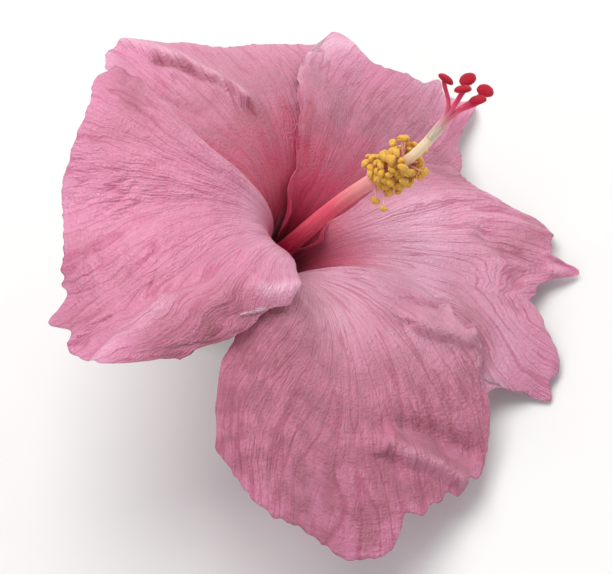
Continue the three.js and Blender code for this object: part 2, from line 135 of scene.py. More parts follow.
# lean is the blade's angle from the flower's axis, foot to tip; ccw and cw are half widths.
# lobes: place across, width, height of waves in the tip's outline
# edges: side, place along, extent, degrees that a margin stands out by, share of the half blade in it
# ruffle: waves in a quarter turn, phase, height at full reach, how late they grow
# sweep: how far across the veins swing, the middle and extent of that, and where it starts
# wrinkle: strength everywhere
# pleats: (u, v), extent (u, v), height, how far apart in mm, angle from the veins
# folds: from (u, v), to (u, v), half width on either side in mm, height
# lips: margins rolled over the upper face, or under it for a negative angle:
#     edge, place along it, extent, width, radius, angle
# eye: how far out the crimson of the throat reaches, in mm
# painted shade and painted highlight lists: from (u, v), to (u, v), half width in mm, strength of the dull
# shade tint and of the whitish highlight tint
petalDefaults = {
    "lap": (1, -1), "straight": 0.3, "turn": 0, "power": 2.6, "edges": [], "sweep": (0, 0, 1, 0.5),
    "pleats": [], "lips": [],
}
petals = [
    {"name": "petalRight", "node": "petal_right", "middle": -2, "length": 67,
     "lean": [4, 12, 30, 56, 64, 72, 84, 96],
     "ccw": [31, 36, 48, 51, 53, 44], "cw": [30, 32, 44, 50, 48, 39], "round": (0.16, 0.1),
     "skew": -0.02,
     "lobes": [(0.05, 0.05, 5.5), (-0.09, 0.08, -3), (-0.22, 0.06, -4), (-0.32, 0.14, -2),
         (-0.62, 0.15, 6), (-0.77, 0.06, 6), (0.4, 0.14, 5), (0.7, 0.25, -6)],
     "edges": [(1, 0.34, 0.16, 5, 1)], "ruffle": (3, 0.3, 3, 4),
     "sweep": (-0.7, -0.45, 0.4, 0.72), "wrinkle": 0.75, "eye": 41,
     "pleats": [(-0.4, 0.88, 0.4, 0.15, 0.5, 2.4, 0), (0.4, 0.85, 0.3, 0.15, 0.3, 2.6, 0)],
     "folds": [((-0.11, 0.96), (-0.77, 1), (1.5, 3), 1.5), ((0.2, 0.8), (-0.14, 0.96), (2.4, 3.2), -1.5),
         ((0.03, 0.93), (0.06, 1), (1.4, 1.4), 1.2), ((0.36, 0.72), (0.3, 0.98), (1.8, 1.8), 1.2),
         ((0.6, 0.6), (0.55, 0.95), (2, 2.5), 0.9)],
     "lips": [("ccw", 0.34, 0.07, 2.4, 0.5, 150), ("tip", 0.12, 0.1, 1.6, 0.9, 70)],
     "paintedShades": [((0.22, 0.76), (-0.1, 0.94), 2, 0.5), ((0.15, 0.87), (0.4, 1), 5.5, 0.75),
         ((0.95, 0.62), (0.85, 0.98), 5, 0.85), ((0.1, 0.97), (-0.9, 1), 4, 0.4),
         ((-0.36, 0.71), (-0.72, 0.81), 3, 0.6)],
     "paintedHighlights": [((0.5, 0.54), (-0.75, 0.6), 11, 0.95), ((-0.8, 0.75), (-0.95, 0.95), 7, 0.9),
         ((0.4, 0.75), (-0.5, 0.85), 12, 0.4), ((0.06, 0.93), (0.12, 1), 1.3, 0.6)]},
    {"name": "petalTopRight", "node": "petal_top_right", "middle": 58, "length": 69,
     "lean": [4, 12, 40, 76, 88, 92, 96, 104],
     "ccw": [31, 40, 50, 45, 38, 28], "cw": [30, 30, 41, 44, 39, 31], "round": (0.08, 0.42),
     "skew": -0.02, "straight": 0.4, "power": 2,
     "lobes": [(-0.25, 0.09, 11.5), (-0.1, 0.08, 5), (0.04, 0.07, 7), (0.5, 0.2, -2), (0.88, 0.15, 10)],
     "edges": [(1, 0.29, 0.12, 12, 1)], "ruffle": (2.5, 0, 2, 3), "wrinkle": 0.5, "eye": 46,
     "folds": [((0.95, 0.5), (0.85, 0.8), (2.5, 1.5), 1), ((0.5, 0.6), (0.6, 0.95), (3, 3), -0.8),
         ((-0.26, 0.97), (-0.26, 1), (6, 6), 3)],
     "lips": [("ccw", 0.28, 0.06, 1.4, 0.5, 120)],
     "paintedShades": [((0.6, 0.65), (-0.7, 0.7), 17, 0.8)],
     "paintedHighlights": [((0.75, 1), (0.95, 0.85), 3.5, 1), ((1, 0.95), (1, 0.7), 0.8, 0.9),
         ((0.2, 1), (-0.3, 0.98), 3, 0.4)]},
    {"name": "petalTopLeft", "node": "petal_top_left", "middle": 119, "length": 69,
     "lean": [4, 16, 60, 92, 110, 124, 150, 180],
     "ccw": [31, 34, 45, 44, 36, 27], "cw": [31, 34, 44, 49, 48, 41], "round": (0.04, 0.04),
     "skew": 0.04, "lap": (-1, -1), "turn": -22,
     "lobes": [(0.72, 0.2, 4), (0.5, 0.2, -3), (0.47, 0.08, 3.5), (-0.05, 0.4, -9), (-0.9, 0.2, 6)],
     "ruffle": (2, 2, 1.5, 3), "wrinkle": 0.6, "eye": 46,
     "folds": [((0.64, 1), (0.22, 0.69), (1.2, 3.2), 1.9), ((0.56, 0.89), (0.4, 0.78), (1.9, 1.4), -1.1),
         ((0.52, 0.82), (0.3, 0.69), (1.8, 2.8), 0.9), ((0.75, 0.78), (0.68, 0.66), (1.6, 1.6), -0.6)],
     "paintedShades": [((0.57, 0.9), (0.36, 0.76), 1.3, 0.9), ((0.75, 0.76), (0.69, 0.67), 1.3, 0.7),
         ((0.6, 0.6), (-0.8, 0.75), 15, 0.65)],
     "paintedHighlights": [((0.64, 1), (0.22, 0.69), 1.1, 0.8), ((0.54, 0.83), (0.26, 0.66), 1.2, 0.5),
         ((0.6, 0.78), (0.4, 0.66), 3.5, 0.25), ((0.95, 1), (0.5, 1), 2.5, 0.4)]},
    {"name": "petalLeft", "node": "petal_left", "middle": 195, "length": 70,
     "lean": [4, 13, 53, 112, 131, 136, 140, 150],
     "ccw": [32, 37, 44, 46, 44, 38], "cw": [32, 25, 23, 32, 42, 48], "round": (0.06, 0.05),
     "skew": 0.03, "lap": (1, 1), "straight": 0.25, "turn": -24,
     "lobes": [(0.44, 0.07, 5.5), (0.62, 0.1, 5.5), (0.8, 0.12, 6), (0.98, 0.1, -4), (-0.05, 0.25, -3),
         (-0.55, 0.35, -2), (-0.9, 0.15, 3)],
     "edges": [(1, 0.59, 0.12, 5, 0.9)], "ruffle": (3, 1, 1.6, 2),
     "sweep": (0.5, 0.5, 0.7, 0.35), "wrinkle": 1.9, "eye": 30,
     "pleats": [(0.3, 0.86, 0.38, 0.14, 1.1, 2.6, 68), (-0.2, 0.8, 0.5, 0.2, 0.5, 2.2, 35)],
     "folds": [((0.76, 0.57), (1, 0.57), (2.6, 3.5), 1.3), ((0.62, 1), (0.52, 0.9), (0.8, 1), 1.2),
         ((0.8, 1), (0.6, 0.76), (6.5, 2.2), 2.6)],
     "paintedShades": [((-1, 0.96), (-0.88, 0.86), 4.5, 0.7), ((0.95, 1), (0.88, 0.72), 7, 1),
         ((0.5, 0.92), (0.8, 0.7), 10, 0.35), ((0.1, 1), (0.55, 0.96), 6, 0.6),
         ((0.05, 0.92), (0.35, 0.84), 3, 0.35), ((-0.95, 0.75), (-0.6, 0.92), 6, 0.35)],
     "paintedHighlights": [((-0.7, 0.42), (0.7, 0.42), 5, 0.55), ((0.78, 1), (0.6, 0.76), 1.5, 0.6),
         ((0.78, 0.57), (1, 0.565), 1.4, 1)]},
    {"name": "petalBottom", "node": "petal_bottom", "middle": 283, "length": 79,
     "lean": [4, 14, 52, 78, 88, 90, 92, 96],
     "ccw": [30, 34, 47, 50, 44, 34], "cw": [30, 34, 49, 47, 42, 34], "round": (0.2, 0.1), "skew": -0.02,
     "lobes": [(-0.15, 0.2, 3), (0.13, 0.07, -5), (0.3, 0.12, -5), (0.44, 0.05, -3), (0.57, 0.06, -3),
         (-0.7, 0.25, 3.5)],
     "edges": [(1, 0.73, 0.035, 3, 0.12), (1, 0.86, 0.04, 4, 0.2)], "ruffle": (3, 0, 2.4, 4),
     "sweep": (-0.4, -0.6, 0.45, 0.25), "wrinkle": 0.6, "eye": 14,
     "pleats": [(0.5, 0.8, 0.3, 0.15, 0.5, 2.6, -40), (-0.6, 0.75, 0.4, 0.25, 0.25, 2.4, 20)],
     "folds": [((0.66, 0.6), (0.98, 0.85), (1.1, 3.5), 2), ((0.85, 0.6), (1, 0.72), (1, 2.5), 0.9),
         ((0.13, 0.82), (0.55, 0.99), (1.3, 3.5), 2.2), ((0.25, 0.77), (0.62, 0.93), (2.2, 2.2), -1.4),
         ((0.1, 0.75), (0.14, 0.9), (1.2, 1.2), -1), ((-0.75, 0.55), (-0.8, 0.9), (3, 3), 0.8)],
     "paintedShades": [((-0.9, 0.5), (-0.9, 1), 18, 0.95), ((-0.8, 0.92), (0.5, 0.88), 28, 0.95),
         ((0.25, 0.78), (0.7, 0.95), 6, 0.95), ((0.76, 0.63), (0.88, 0.72), 1.3, 0.6),
         ((0.2, 0.95), (0.5, 1), 6, 0.8), ((-0.6, 0.6), (-0.5, 0.98), 20, 0.9),
         ((0.1, 0.62), (0.3, 0.9), 14, 0.4)],
     "paintedHighlights": [((0.9, 0.36), (-0.5, 0.36), 12, 1), ((0.55, 0.6), (0.8, 0.7), 8, 0.6),
         ((0.68, 0.62), (0.97, 0.845), 1.1, 0.7), ((0.13, 0.82), (0.52, 0.98), 1.1, 0.5),
         ((0.94, 0.5), (1, 0.84), 2.4, 0.8)]},
]
petals = [{**petalDefaults, **petal} for petal in petals]
leanOf, middleOf, turnOf, straightOf, ruffleOf = (
    np.array([petal[key] for petal in petals], float)
    for key in ("lean", "middle", "turn", "straight", "ruffle"))


def neighbours(azimuth):
    # the two petals that an azimuth lies between, and the share of the second
    ends = np.append(middleOf, middleOf[0] + 360)
    phi = (azimuth - ends[0]) % 360 + ends[0]
    k = np.clip(np.searchsorted(ends, phi, side="right") - 1, 0, len(petals) - 1)
    return k, (k + 1) % len(petals), smooth((phi - ends[k]) / (ends[k + 1] - ends[k]))


def petalLean(k, azimuth, distance):
    off = np.clip(np.radians(wrap(azimuth - middleOf[k] - turnOf[k])), -1.5, 1.5)
    slower = 1 - straightOf[k] * (1 - np.cos(off))
    return through(leanOf[k], distance * slower / corolla["reach"])


def petalRuffle(k, azimuth, distance):
    waves, phase, height, growth = ruffleOf[k].T
    turn = np.radians(4 * waves * wrap(azimuth - middleOf[k]))
    return height * (distance / corolla["reach"]) ** growth * np.sin(turn + phase)


def blended(measure, azimuth, distance):
    one, other, share = neighbours(azimuth)
    return measure(one, azimuth, distance) * (1 - share) + measure(other, azimuth, distance) * share


def surfaceAt(azimuth, distance):
    # points of the shared surface and the normals of its upper face
    azimuth, distance = np.broadcast_arrays(np.asarray(azimuth, float), np.asarray(distance, float))
    shape, steps = azimuth.shape, corolla["steps"]
    azimuth, distance = azimuth.ravel(), distance.ravel()
    radius = np.full(azimuth.shape, float(corolla["neckRadius"]))
    height = np.zeros(azimuth.shape)
    for k in range(steps):
        lean = np.radians(blended(petalLean, azimuth, distance * (k + 0.5) / steps))
        radius += np.sin(lean) * distance / steps
        height += np.cos(lean) * distance / steps
    lean = np.radians(blended(petalLean, azimuth, distance))
    inward = around(azimuth, -np.cos(lean), np.sin(lean))
    point = around(azimuth, radius, height) + inward * blended(petalRuffle, azimuth, distance)[:, None]
    return point.reshape(*shape, 3), inward.reshape(*shape, 3)


def gridNormals(points, closed=False):
    across = np.roll(points, -1, 1) - np.roll(points, 1, 1) if closed else np.gradient(points, axis=1)
    return unit(np.cross(across, np.gradient(points, axis=0)))


def ballAngles(rows, sides):
    return np.linspace(0, math.pi, rows + 1)[:, None], np.arange(sides) * 2 * math.pi / sides


def addObject(name, data):
    added = bpy.data.objects.new(name, data)
    bpy.context.scene.collection.objects.link(added)
    return added


def newPiece(name, node, material, points, faces, attributes, bakeMap=None):
    mesh = bpy.data.meshes.new(name)
    mesh.from_pydata(laidDown(points).tolist(), [], faces)
    mesh.validate()
    mesh.update()
    mesh.shade_smooth()
    for key, values in attributes.items():
        layer = mesh.attributes.new(key, "FLOAT_VECTOR", "POINT")
        layer.data.foreach_set("vector", np.asarray(values, np.float32).ravel())
    if bakeMap is not None:
        layer = mesh.uv_layers.new(name="OFBake")
        layer.uv.foreach_set("vector", np.asarray(bakeMap, np.float32).ravel())
    mesh.materials.append(material)
    piece = addObject(name, mesh)
    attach(piece, "root")
    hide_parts(node)


def newStem(name, node, material, parts, bakeMap=None):
    # one piece from several (points, faces, place) meshes
    points, faces, places = [], [], []
    start = 0
    for somePoints, someFaces, somePlaces in parts:
        points.append(somePoints)
        faces += [tuple(start + k for k in face) for face in someFaces]
        places.append(somePlaces)
        start += len(somePoints)
    newPiece(name, node, material, np.concatenate(points), faces,
             {"alongPlace": np.concatenate(places)}, bakeMap)


def bladeGrid(across, along):
    # places on a blade: u from -1 to 1 across it and v from 0 to 1 along it
    shape = (along + 1, across + 1)
    u = np.broadcast_to(np.linspace(-1, 1, across + 1), shape)
    return u, np.broadcast_to(np.linspace(0, 1, along + 1)[:, None], shape)


def ringFaces(rows, sides, start=0, flipped=False):
    # quads between rings of points, each ring closed on itself
    faces = []
    for low in range(start, start + rows * sides, sides):
        for i in range(sides):
            a, b = low + i, low + (i + 1) % sides
            faces.append((a, a + sides, b + sides, b) if flipped else (a, b, b + sides, a + sides))
    return faces


def bladeMesh(points, thickness, closed=False):
    # a closed thin blade: both faces, then the rim, and a bake map with a place for each
    rows, columns = points.shape[:2]
    half = gridNormals(points, closed) * np.asarray(thickness)[..., None] / 2
    solid = np.concatenate([(points + half).reshape(-1, 3), (points - half).reshape(-1, 3)])
    count, last = rows * columns, columns if closed else columns - 1
    faces, places = [], []

    def addFace(corners, spots):
        faces.append(corners)
        places.extend(spots)

    def spot(i, j, lower):
        return ((i / last) * 0.47 + 0.015 + 0.5 * lower, 0.02 + 0.96 * j / (rows - 1))

    def rim(p, q, low, high):
        # p and q are neighbours on the rim; low and high are corners of their place in the map
        addFace((q, p, count + p, count + q), [high, (low[0], high[1]), low, (high[0], low[1])])

    for j in range(rows - 1):
        for i in range(last):
            a, b = j * columns + i, j * columns + (i + 1) % columns
            corners = [(a, i, j), (b, i + 1, j), (b + columns, i + 1, j + 1), (a + columns, i, j + 1)]
            for lower, order in enumerate(((0, 1, 2, 3), (0, 3, 2, 1))):
                addFace([count * lower + corners[k][0] for k in order],
                        [spot(*corners[k][1:], lower) for k in order])
    top = (rows - 1) * columns
    for i in range(last):
        n = (i + 1) % columns
        left, right = 0.015 + 0.97 * i / last, 0.015 + 0.97 * (i + 1) / last
        rim(i, n, (left, 0.002), (right, 0.012))
        rim(top + n, top + i, (left, 0.988), (right, 0.998))
    for j in range(0 if closed else rows - 1):
        low, high = 0.02 + 0.96 * j / (rows - 1), 0.02 + 0.96 * (j + 1) / (rows - 1)
        rim(j * columns + last, (j + 1) * columns + last, (0.0, low), (0.01, high))
        rim((j + 1) * columns, j * columns, (0.99, low), (1.0, high))
    return solid, faces, places


def plug(tree, value, socket):
    if isinstance(value, bpy.types.NodeSocket):
        tree.links.new(value, socket)
    else:
        socket.default_value = (*value, 1) if socket.type == "RGBA" else value


def addNode(tree, kind, inputs=None, **settings):
    node = tree.nodes.new("ShaderNode" + kind)
    for key, value in settings.items():
        setattr(node, key, value)
    for key, value in (inputs or {}).items():
        plug(tree, value, node.inputs[key])
    return node


def mathNode(tree, operation, a, b=0.0):
    return addNode(tree, "Math", {0: a, 1: b}, operation=operation).outputs[0]


def times(tree, a, b):
    return mathNode(tree, "MULTIPLY", a, b)


def plus(tree, a, b):
    return mathNode(tree, "ADD", a, b)


def minus(tree, a, b):
    return mathNode(tree, "SUBTRACT", a, b)


def mixNode(tree, share, a, b, blend="MIX"):
    return addNode(tree, "Mix", {0: share, 6: a, 7: b}, data_type="RGBA", blend_type=blend).outputs[2]


def rangeNode(tree, value, low, high, outLow=0.0, outHigh=1.0):
    return addNode(tree, "MapRange", {"Value": value, "From Min": low, "From Max": high, "To Min": outLow,
                                      "To Max": outHigh}, interpolation_type="SMOOTHSTEP").outputs["Result"]


def vectorNode(tree, operation, a, b):
    # b is the scale or the second vector
    inputs = {0: a, "Scale" if operation == "SCALE" else 1: b}
    return addNode(tree, "VectorMath", inputs, operation=operation).outputs[0]


def noiseNode(tree, vector, scale, detail, roughness=0.5):
    return addNode(tree, "TexNoise", {"Vector": vector, "Scale": scale, "Detail": detail,
                                      "Roughness": roughness}).outputs


def placeParts(tree, name):
    # a piece's own places, whole and as three numbers
    place = addNode(tree, "Attribute", attribute_name=name).outputs["Vector"]
    return place, addNode(tree, "SeparateXYZ", {0: place}).outputs


def rampNode(tree, value, stops):
    node = addNode(tree, "ValToRGB", {"Fac": value})
    ramp = node.color_ramp
    ramp.interpolation = "EASE"
    while len(ramp.elements) < len(stops):
        ramp.elements.new(0.5)
    for element, (place, colour) in zip(ramp.elements, stops):
        element.position = place
        element.color = (*colour, 1)
    return node.outputs["Color"]


def newGroup(name, inputs, outputs):
    group = bpy.data.node_groups.new(name, "ShaderNodeTree")
    for key, kind, value in inputs:
        socket = group.interface.new_socket(key, in_out="INPUT", socket_type="NodeSocket" + kind)
        socket.default_value = value
    for key, kind in outputs:
        group.interface.new_socket(key, in_out="OUTPUT", socket_type="NodeSocket" + kind)
    return group, group.nodes.new("NodeGroupInput").outputs, group.nodes.new("NodeGroupOutput").inputs


def useGroup(tree, group, values):
    return addNode(tree, "Group", values, node_tree=group).outputs


def makeVeinGroup():
    # veins and streaks that run along a blade; Place is (across -1..1, along 0..1, 0)
    group, given, made = newGroup(
        "veinStreaks",
        [("Place", "Vector", (0, 0, 0)), ("Veins", "Float", 10.0), ("Waver", "Float", 0.03),
         ("Ripple", "Float", 0.0), ("Seed", "Float", 0.0)],
        [("Veins", "Float"), ("Fine", "Float"), ("Broad", "Float"), ("Height", "Float")])
    bend = noiseNode(group, given["Place"], 5.0, 2.0)["Color"]
    spread = vectorNode(group, "SUBTRACT", bend, (0.5, 0.5, 0.5))
    sway = vectorNode(group, "SCALE", spread, given["Waver"])
    place = vectorNode(group, "ADD", given["Place"], sway)
    parts = addNode(group, "SeparateXYZ", {0: place}).outputs

    def streaks(across, along, detail):
        # long drawn noise: how often it changes across and along the blade
        x = times(group, parts[0], times(group, given["Veins"], across))
        y = times(group, parts[1], along)
        at = addNode(group, "CombineXYZ", {0: x, 1: y, 2: given["Seed"]}).outputs[0]
        return noiseNode(group, at, 1.0, detail, 0.55)["Fac"]

    def lines(noise, width):
        # thin lines where the noise passes through its middle
        return rangeNode(group, mathNode(group, "ABSOLUTE", minus(group, noise, 0.5)), width, 0.0)

    broad = streaks(1.0, 1.6, 3.0)
    coarse = streaks(1.3, 3.0, 1.0)
    fine = streaks(4.2, 9.0, 2.0)
    hair = streaks(7.0, 62.0, 2.0)
    ripple = streaks(2.4, 105.0, 3.0)
    plug(group, rangeNode(group, broad, 0.38, 0.62), made["Broad"])
    plug(group, lines(coarse, 0.035), made["Veins"])
    plug(group, lines(fine, 0.07), made["Fine"])
    raised = plus(group, times(group, hair, 0.7), times(group, ripple, given["Ripple"]))
    sunk = minus(group, raised, times(group, lines(fine, 0.12), 0.35))
    plug(group, minus(group, sunk, times(group, lines(coarse, 0.05), 0.25)), made["Height"])
    return group


def makeCrepeGroup():
    # fine crumpled skin and cloudy variation, from the object's own coordinates in metres
    group, given, made = newGroup(
        "skinCrepe",
        [("Size", "Float", 0.001), ("Seed", "Float", 0.0)],
        [("Cloud", "Float"), ("Grain", "Float"), ("Height", "Float")])
    at = addNode(group, "TexCoord").outputs["Object"]
    scaled = vectorNode(group, "SCALE", at, mathNode(group, "DIVIDE", 1.0, given["Size"]))
    shift = addNode(group, "CombineXYZ", {0: given["Seed"]}).outputs[0]
    moved = vectorNode(group, "ADD", scaled, shift)
    cloud = noiseNode(group, moved, 0.12, 3.0)["Fac"]
    grain = noiseNode(group, moved, 1.0, 4.0)["Fac"]
    cells = addNode(group, "TexVoronoi", {"Vector": moved, "Scale": 1.3}).outputs["Distance"]
    plug(group, rangeNode(group, cloud, 0.3, 0.7), made["Cloud"])
    plug(group, rangeNode(group, grain, 0.35, 0.65), made["Grain"])
    plug(group, plus(group, grain, cells), made["Height"])
    return group


veinStreaks = makeVeinGroup()
skinCrepe = makeCrepeGroup()


def emptyMaterial(name):
    material = bpy.data.materials.new(name)
    material.use_nodes = True
    return material, material.node_tree, material.node_tree.nodes["Principled BSDF"]


def newMaterial(name, roughness, subsurface, sheen, scatterSize, radius):
    material, tree, shader = emptyMaterial(name)
    for key, value in (("Roughness", roughness), ("Subsurface Weight", subsurface),
                       ("Subsurface Radius", radius), ("Subsurface Scale", scatterSize),
                       ("Sheen Weight", sheen), ("Sheen Roughness", 0.4), ("Specular IOR Level", 0.3)):
        shader.inputs[key].default_value = value
    return material, tree, shader


def finish(tree, shader, colour, height, distance, strength, roughness=None):
    plug(tree, colour, shader.inputs["Base Color"])
    if roughness is not None:
        plug(tree, roughness, shader.inputs["Roughness"])
    bump = addNode(tree, "Bump", {"Height": height, "Distance": distance, "Strength": strength})
    plug(tree, bump.outputs["Normal"], shader.inputs["Normal"])


petalFinish = {
    # the upper face from the throat outwards, then its margin and the lower face
    "throat": (0.12, 0.002, 0.012), "deep": (0.40, 0.008, 0.055), "rose": (0.60, 0.038, 0.12),
    "blush": (0.67, 0.135, 0.245), "limb": (0.71, 0.25, 0.39), "margin": (0.76, 0.275, 0.45),
    "under": (0.70, 0.36, 0.47), "vein": (0.50, 0.10, 0.21),
    # a dull tint for painted shade, and a whitish pink used both for cloudy mottling and for painted
    # highlights
    "paintedShadeTint": (0.50, 0.385, 0.385), "paleAndHighlight": (0.95, 0.50, 0.66),
    # how strongly each tint, and the painted highlight, covers what is under it
    "veinShare": 0.6, "fineShare": 0.22, "underVeinShare": 0.35, "cloudShare": 0.15, "highlightShare": 0.9,
    "roughness": 0.44, "bump": 0.65,
}


def makePetalMaterial():
    f = petalFinish
    material, tree, shader = newMaterial("petalSkin", f["roughness"], 0.22, 0.25, 0.002, (1, 0.4, 0.5))
    shader.inputs["Sheen Tint"].default_value = (1, 0.85, 0.95, 1)
    shader.inputs["Specular IOR Level"].default_value = 0.5
    # side tells the upper face, 1, from the lower one, 0
    across, along, side = placeParts(tree, "petalPlace")[1]
    # out reaches 1 where the crimson eye ends; the other two are the painted shade and the painted
    # highlights
    out, paintedShade, paleAndHighlight = placeParts(tree, "petalEyeAndPaintedLight")[1]
    flat = addNode(tree, "CombineXYZ", {0: across, 1: along}).outputs[0]
    veins = useGroup(tree, veinStreaks, {"Place": flat, "Veins": 9.0, "Waver": 0.02, "Ripple": 1.3})
    crepe = useGroup(tree, skinCrepe, {"Size": 0.0006})
    wander = times(tree, minus(tree, veins["Broad"], 0.5), 0.1)
    upper = rampNode(tree, plus(tree, out, wander), [
        (0.26, f["throat"]), (0.45, f["deep"]), (0.62, f["rose"]), (0.84, f["blush"]), (1.0, f["limb"])])
    upper = mixNode(tree, rangeNode(tree, along, 0.55, 1.0), upper, f["margin"])
    # painted highlights: a whitish pink laid over lit crests, facets and patches
    upper = mixNode(tree, times(tree, paleAndHighlight, f["highlightShare"]), upper, f["paleAndHighlight"])
    grown = rangeNode(tree, out, 0.35, 0.9)
    for mask, share, colour in ((veins["Veins"], f["veinShare"], f["vein"]),
                                (veins["Fine"], f["fineShare"], f["vein"]),
                                (crepe["Cloud"], f["cloudShare"], f["paleAndHighlight"])):
        upper = mixNode(tree, times(tree, times(tree, mask, share), grown), upper, colour)
    # painted shade: a dull tint multiplied in where shade falls, broken up a little by the mottle
    paintedShadeTint = times(tree, paintedShade, rangeNode(tree, crepe["Cloud"], 0.0, 1.0, 0.55, 1.0))
    upper = mixNode(tree, paintedShadeTint, upper, f["paintedShadeTint"], "MULTIPLY")
    lower = mixNode(tree, rangeNode(tree, out, 0.5, 1.2), f["rose"], f["under"])
    lower = mixNode(tree, times(tree, veins["Veins"], f["underVeinShare"]), lower, f["vein"])
    colour = mixNode(tree, side, lower, upper)
    height = plus(tree, veins["Height"], times(tree, crepe["Height"], 0.5))
    height = times(tree, height, rangeNode(tree, out, 0.35, 1.0, 0.2, 1.0))
    rough = rangeNode(tree, crepe["Grain"], 0.0, 1.0, f["roughness"] - 0.06, f["roughness"] + 0.1)
    finish(tree, shader, colour, height, 0.0005, f["bump"], rough)
    return material


petalSkin = makePetalMaterial()


def awayFrom(points, start, end):
    # how far every point of a blade is from a line on it, in mm
    rows, columns = points.shape[:2]
    path = []
    for share in np.linspace(0, 1, 7):
        atU, atV = start[0] + (end[0] - start[0]) * share, start[1] + (end[1] - start[1]) * share
        path.append(points[int(round(atV * (rows - 1))), int(round((atU + 1) / 2 * (columns - 1)))])
    away = np.full(points.shape[:2], np.inf)
    for a, b in zip(path[:-1], path[1:]):
        share = np.clip((points - a) @ (b - a) / max((b - a) @ (b - a), 1e-9), 0, 1)
        away = np.minimum(away, np.linalg.norm(points - a - share[..., None] * (b - a), axis=-1))
    return away


def foldLift(points, u, v, fold):
    # height of a ridge, or of a hollow, that follows a line on the blade
    start, end, (left, right), height = fold
    away = awayFrom(points, start, end)
    side = np.sign((end[0] - start[0]) * (v - start[1]) - (end[1] - start[1]) * (u - start[0])) * away
    width = right + (left - right) * smooth(0.5 + side / (left + right))
    return height * np.exp(-((away / width) ** 2))


def tinted(points, marks):
    # strength of painted shade, and likewise of painted highlights, laid along lines on the blade
    total = np.zeros(points.shape[:2])
    for start, end, width, strength in marks:
        total = np.maximum(total, strength * np.exp(-((awayFrom(points, start, end) / width) ** 2)))
    return total


def rollMargin(points, smoothPoints, upward, lip):
    # rolls a margin over the upper or the lower face; the roll tapers off at both of its ends
    edge, place, extent, width, radius, angle = lip
    points = points.copy()
    if edge == "tip":
        lines = [np.swapaxes(grid, 0, 1)[:, ::-1] for grid in (points, smoothPoints, upward)]
        places = np.linspace(-1, 1, len(lines[0]))
    else:
        step = -1 if edge == "ccw" else 1
        lines = [grid[:, ::step] for grid in (points, smoothPoints, upward)]
        places = np.linspace(0, 1, len(lines[0]))
    for at, line, even, normals in zip(places, *lines):
        wide = width * bell(at, place, extent)
        if wide < 0.1:
            continue
        inward = np.concatenate([[0], np.cumsum(np.linalg.norm(np.diff(even, axis=0), axis=1))])
        crest = int(np.searchsorted(inward, wide))
        out = unit(even[crest] - even[crest + 4])
        normal = unit(normals[crest] - out * (normals[crest] @ out))
        s = inward[crest] - inward[:crest]
        phi = np.minimum(s / radius, math.radians(abs(angle)))
        extra = s - phi * radius
        line[:crest] = line[crest] + (radius * np.sin(phi) + extra * np.cos(phi))[:, None] * out + (
            radius * (1 - np.cos(phi)) + extra * np.sin(phi))[:, None] * normal * np.sign(angle)
    return points


def makePetal(number, petal):
    u, v = bladeGrid(corolla["across"], corolla["along"])
    positive = u > 0
    roundness = np.where(positive, petal["round"][0], petal["round"][1])
    length = petal["length"] * (1 - roundness * np.abs(u) ** petal["power"]) * (1 + petal["skew"] * u)
    for place, width, height in petal["lobes"]:
        length = length + height * bell(u, place, width)
    for k, (count, height) in enumerate(corolla["teeth"]):
        length = length + height * softNoise(u * count, 0 * u, 5 + number + 10 * k)
    distance = v * length
    width = np.where(positive, through(petal["ccw"], v), through(petal["cw"], v))
    for side, place, extent, degrees, reach in petal["edges"]:
        tooth = smooth(np.clip(1.6 - 1.6 * np.abs(v - place) / extent, 0, 1))
        width = width + degrees * tooth * smooth((side * u - 1 + reach) / reach)
    count, height = corolla["sideTeeth"]
    width = width * (1 + height * softNoise(v * count, np.sign(u), 25 + number) * smooth(v / 0.6))
    points, inward = surfaceAt(petal["middle"] + u * width, distance)
    side = np.where(positive, petal["lap"][0], petal["lap"][1])
    lap = side * np.abs(u) * corolla["layer"] * smooth(v / corolla["layerFrom"])
    points = points + inward * lap[..., None]
    amount, centre, extent, start = petal["sweep"]
    flow = u - amount * smooth((v - start) / (1 - start)) * bell(u, centre, extent)
    # painted shade and painted highlights, laid along lines on the blade
    paintedShade, paleAndHighlight = tinted(points, petal["paintedShades"]), tinted(points, petal["paintedHighlights"])
    even = points
    points = wrinkled(points, petal, number, u, v, flow, distance)
    for lip in petal["lips"]:
        points = rollMargin(points, even, inward, lip)
    edge = smooth(np.minimum(1 - np.abs(u), 1 - v) * corolla["thinning"])
    thickness = corolla["marginThickness"] + (corolla["thickness"] - corolla["marginThickness"]) * edge
    solid, faces, places = bladeMesh(points, thickness)
    upper = np.stack([flow, distance / corolla["reach"], 1 + 0 * u], -1).reshape(-1, 3)
    # the crimson eye, then the painted shade and the painted highlights, for the material
    eyeAndPaintedLight = np.stack([distance / petal["eye"], paintedShade, paleAndHighlight], -1).reshape(-1, 3)
    newPiece(petal["name"], petal["node"], petalSkin, solid, faces,
             {"petalPlace": np.concatenate([upper * (1, 1, 0), upper]),
              "petalEyeAndPaintedLight": np.concatenate([eyeAndPaintedLight, eyeAndPaintedLight])}, places)


